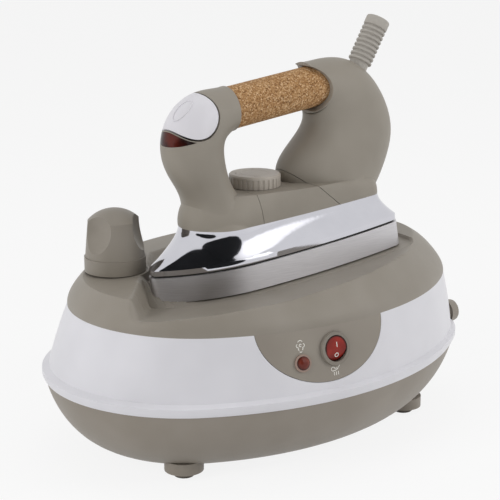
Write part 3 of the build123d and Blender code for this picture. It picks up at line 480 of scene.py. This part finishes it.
# The steam button caps the front of the handle. It is polished white ABS, on a stem that presses a small
# switch, with the raised line of an oval on its brow for the thumb.
button_abs = moulded_plastic("white_abs_button", "#e1dfe4", "#dad8dd", 0.4, 2.5, 0.01)
button = dress("steam_button", button_abs, 40)
dress("button_switch", phenolic)
skin = bmesh.new()
skin.from_mesh(button.data)
brow = BVHTree.FromBMesh(skin)
skin.free()
oval_at, oval_long, oval_short, oval_line_mm = Vector((-0.0868, -0.0095, 0.2802)), 0.0100, 0.0050, 1.1
oval_clear, oval_proud = 0.03, 0.0001
oval_out = Vector((-0.62, -0.28, 0.73)).normalized()
oval_along = Vector((0.73, -0.1, 0.62))
oval_along = (oval_along - oval_out * oval_along.dot(oval_out)).normalized()
oval_across = oval_out.cross(oval_along)
oval = []
for x, y in arc(0, 0, 1, 0, 354, 59):
    start = oval_at + oval_along * (oval_long * x) + oval_across * (oval_short * y) + oval_out * oval_clear
    hit = brow.ray_cast(start, -oval_out)[0]
    if hit is not None:
        oval.append([c * 1000 for c in hit + oval_out * oval_proud])
thumb_oval = line_work("thumb_oval", [(True, oval)], oval_line_mm, Matrix.Identity(4), 1.0)
thumb_oval.data.materials.append(button_abs)
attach(thumb_oval, "button")


# The iron's pilot lens, a wedge of polycarbonate let into the housing under the button.
# It is smoked red, and a painted shade makes it nearly black towards its edge.
lens_middle = Matrix.Translation((-0.0885, -0.006, 0.247))
lens_red = clear_plastic("polycarbonate_smoked_red", "#5a1f14", "#34110c", "#190908", 0.18, lens_middle,
                         2, 15)
dress("iron_pilot_lens", lens_red)


# The boot, a ribbed sleeve of taupe rubber that stands at the top of the handle on a spigot.
# Its ribs have rounded crests, and a plain collar ends it. A pale bloom of about 4 mm clouds its face.
boot_rubber, tree, shader, where = new_material("thermoplastic_rubber_taupe")
bloom = add_node(tree, "ShaderNodeTexNoise", {"Scale": 1000 / 4, "Detail": 4.0}, {"Vector": where})
tone = add_node(tree, "ShaderNodeValToRGB", {"stops": [(0, "#a6a19a"), (1, "#b8b3ab")]},
                {"Fac": bloom.outputs["Fac"]})
relief = add_node(tree, "ShaderNodeBump", {"Strength": 0.3, "Distance": 0.00004},
                  {"Height": bloom.outputs["Fac"]})
fit_node(tree, shader, {"Roughness": 0.66, "IOR": 1.5},
         {"Base Color": tone.outputs["Color"], "Normal": relief.outputs["Normal"]})
ribs, rib_pitch, crest_r, bore_r, collar, spigot_r, spigot = 8, 3.9, 10.0, 5.5, 8.0, 8.0, 11.0
rib_section = [(1.6, 0.05), (0.5, 0.12), (0.08, 0.5), (0, 1.0), (0, 1.4), (0.08, 1.85), (0.5, 2.25),
               (1.6, 2.45), (1.6, 3.3)]
collar_section = [(1.6, 0), (0.6, 0.05), (0.15, 0.35), (0, 0.9), (0, collar - 1.2), (0.3, collar - 0.4),
                  (1.0, collar)]
outline = [(bore_r, -spigot), (spigot_r, -spigot), (spigot_r, -0.05)]
for i in range(ribs):
    outline += [(crest_r - drop, i * rib_pitch + rise) for drop, rise in rib_section]
outline += [(crest_r - drop, ribs * rib_pitch + rise) for drop, rise in collar_section]
outline.append((bore_r, ribs * rib_pitch + collar))
turned = bmesh.new()
profile = [turned.verts.new((r / 1000, 0, z / 1000)) for r, z in outline]
edges = [turned.edges.new(pair) for pair in zip(profile, profile[1:] + profile[:1])]
bmesh.ops.spin(turned, geom=profile + edges, cent=(0, 0, 0), axis=(0, 0, 1), angle=math.tau, steps=48,
               use_merge=True)
bmesh.ops.remove_doubles(turned, verts=turned.verts, dist=0.000005)
bmesh.ops.recalc_face_normals(turned, faces=turned.faces)
boot_foot, boot_axis = Vector((0.10466, 0, 0.28945)), Vector((0.5138, 0, 0.8579))
lean = boot_axis.to_track_quat("Z", "Y").to_matrix().to_4x4()
bmesh.ops.transform(turned, matrix=Matrix.Translation(boot_foot) @ lean, verts=turned.verts)
ribbed_boot = finished("ribbed_boot", turned, boot_rubber, 50)
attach(ribbed_boot, "iron")
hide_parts("hose_boot")


# The stage: a pale paper floor and an even backdrop, lit by two soft boxes from the sides and one overhead.
# Dark oval cards and a bright silk screen, out of view, are there only for the polished metal to mirror.
def shown_or_mirrored(tree):
    """1 for rays from the camera, a mirror or glass, and 0 for the light that falls on the object."""
    seen = add_node(tree, "ShaderNodeLightPath", {}, {})
    mirrored = add_node(tree, "ShaderNodeMath", {"operation": "MAXIMUM"},
                        {0: seen.outputs["Is Camera Ray"], 1: seen.outputs["Is Glossy Ray"]})
    through = add_node(tree, "ShaderNodeMath", {"operation": "MAXIMUM"},
                       {0: mirrored.outputs[0], 1: seen.outputs["Is Transmission Ray"]})
    return through.outputs[0]


def bare_material(name):
    """A material whose surface is still open, with its tree and the surface's socket."""
    material = bpy.data.materials.new(name)
    material.use_nodes = True
    tree = material.node_tree
    tree.nodes.remove(tree.nodes["Principled BSDF"])
    return material, tree, tree.nodes["Material Output"].inputs["Surface"]


def only_mirrored(card):
    for kind in ("camera", "diffuse", "shadow", "transmission"):
        setattr(card, "visible_" + kind, False)


def sheet(name, width, depth, place, material):
    plane = bmesh.new()
    bmesh.ops.create_grid(plane, x_segments=1, y_segments=1, size=0.5)
    bmesh.ops.transform(plane, matrix=place @ Matrix.Diagonal((width, depth, 1, 1)), verts=plane.verts)
    made = finished(name, plane, material)
    return made


paper, tree, surface = bare_material("backdrop_paper")
share = add_node(tree, "ShaderNodeMath", {"operation": "MULTIPLY", 1: 0.88}, {0: shown_or_mirrored(tree)})
dull = add_node(tree, "ShaderNodeBsdfDiffuse", {"Color": linear("#f2f2f2")}, {})
glow = add_node(tree, "ShaderNodeEmission", {"Color": linear("#fdfdfd"), "Strength": 1.0}, {})
blend = add_node(tree, "ShaderNodeMixShader", {},
                 {"Fac": share.outputs[0], 1: dull.outputs[0], 2: glow.outputs[0]})
tree.links.new(blend.outputs[0], surface)
sheet("floor", 12, 12, Matrix.Identity(4), paper)

card_black = bpy.data.materials.new("card_black")
card_black.use_nodes = True
tree = card_black.node_tree
fit_node(tree, tree.nodes["Principled BSDF"], {"Base Color": linear("#101214"), "Roughness": 0.9}, {})
over = Matrix.Translation((-0.47, -0.78, 1.3)) @ Matrix.Rotation(math.radians(-9), 4, "Z")
left = (Matrix.Translation((-1.4, -0.5, 0.18)) @ Matrix.Rotation(math.radians(90), 4, "Y")
        @ Matrix.Rotation(math.radians(-26), 4, "X"))
facing = Vector((0.5, 1.06, -0.32)).to_track_quat("Z", "Y").to_matrix().to_4x4()
front = Matrix.Translation((-0.57, -1.15, 0.86)) @ facing @ Matrix.Rotation(math.radians(-45), 4, "Z")
for name, width, depth, place in (("card_over", 1.0, 2.3, over), ("card_left", 0.75, 1.5, left),
                                  ("card_front", 1.1, 2.0, front)):
    ellipse = bmesh.new()
    bmesh.ops.create_circle(ellipse, cap_ends=True, segments=64, radius=0.5,
                            matrix=place @ Matrix.Diagonal((width, depth, 1, 1)))
    card = finished(name, ellipse, card_black)
    only_mirrored(card)

screen_at, screen_fade = Vector((0.55, -1.45, 0.95)), 0.7
silk, tree, surface = bare_material("screen_silk")
where = tree.nodes.new("ShaderNodeTexCoord").outputs["Object"]
middle = add_node(tree, "ShaderNodeMapping", {"vector_type": "TEXTURE", "Location": screen_at,
                  "Scale": (screen_fade, screen_fade, screen_fade)}, {"Vector": where})
fade = add_node(tree, "ShaderNodeTexGradient", {"gradient_type": "SPHERICAL"},
                {"Vector": middle.outputs["Vector"]})
lit_share = add_node(tree, "ShaderNodeMapRange", {"From Min": 0.0, "From Max": 0.5},
                     {"Value": fade.outputs["Fac"]})
light = add_node(tree, "ShaderNodeEmission", {"Color": (1, 1, 1, 1), "Strength": 1.9}, {})
clear = add_node(tree, "ShaderNodeBsdfTransparent", {}, {})
blend = add_node(tree, "ShaderNodeMixShader", {},
                 {"Fac": lit_share.outputs["Result"], 1: clear.outputs[0], 2: light.outputs[0]})
tree.links.new(blend.outputs[0], surface)
screen_place = Matrix.Translation(screen_at) @ Matrix.Rotation(math.radians(62), 4, "X")
only_mirrored(sheet("bright_screen", 1.3, 1.0, screen_place, silk))

world = bpy.data.worlds.new("even_light")
bpy.context.scene.world = world
world.use_nodes = True
tree = world.node_tree
ambient = fit_node(tree, tree.nodes["Background"], {"Color": (1, 1, 1, 1), "Strength": 0.4}, {})
backdrop = add_node(tree, "ShaderNodeBackground", {"Color": linear("#f7f7f7"), "Strength": 1.0}, {})
blend = add_node(tree, "ShaderNodeMixShader", {},
                 {"Fac": shown_or_mirrored(tree), 1: ambient.outputs[0], 2: backdrop.outputs[0]})
tree.links.new(blend.outputs[0], tree.nodes["World Output"].inputs["Surface"])

aim = Vector((0, 0, 0.13))
for name, at, power, size in (("soft_box_left", (-1.75, -0.1, 0.8), 12.0, 0.9),
                              ("soft_box_right", (1.3, -1.4, 0.8), 13.0, 0.9),
                              ("soft_box_top", (0.0, 0.1, 1.7), 5.0, 1.2)):
    lamp = bpy.data.lights.new(name, "AREA")
    lamp.energy = power
    lamp.size = size
    made = bpy.data.objects.new(name, lamp)
    made.location = at
    made.rotation_euler = (aim - Vector(at)).to_track_quat("-Z", "Y").to_euler()
    made.visible_glossy = False
    bpy.context.scene.collection.objects.link(made)

bpy.context.scene.view_settings.view_transform = "Standard"


# The camera looks slightly down at the front quarter of the base, through a long lens that keeps the
# far side from shrinking. The lens is shifted a little to set the object in the frame.
lens = bpy.data.cameras.new("camera")
lens.lens = 107.24
lens.sensor_width = 36.0
lens.shift_x = -0.0176
lens.shift_y = 0.0408
lens.clip_start = 0.01
camera = bpy.data.objects.new("camera", lens)
camera.location = (-0.7129, -0.9125, 0.4446)
camera.rotation_euler = (aim - camera.location).to_track_quat("-Z", "Y").to_euler()
bpy.context.scene.collection.objects.link(camera)
bpy.context.scene.camera = camera
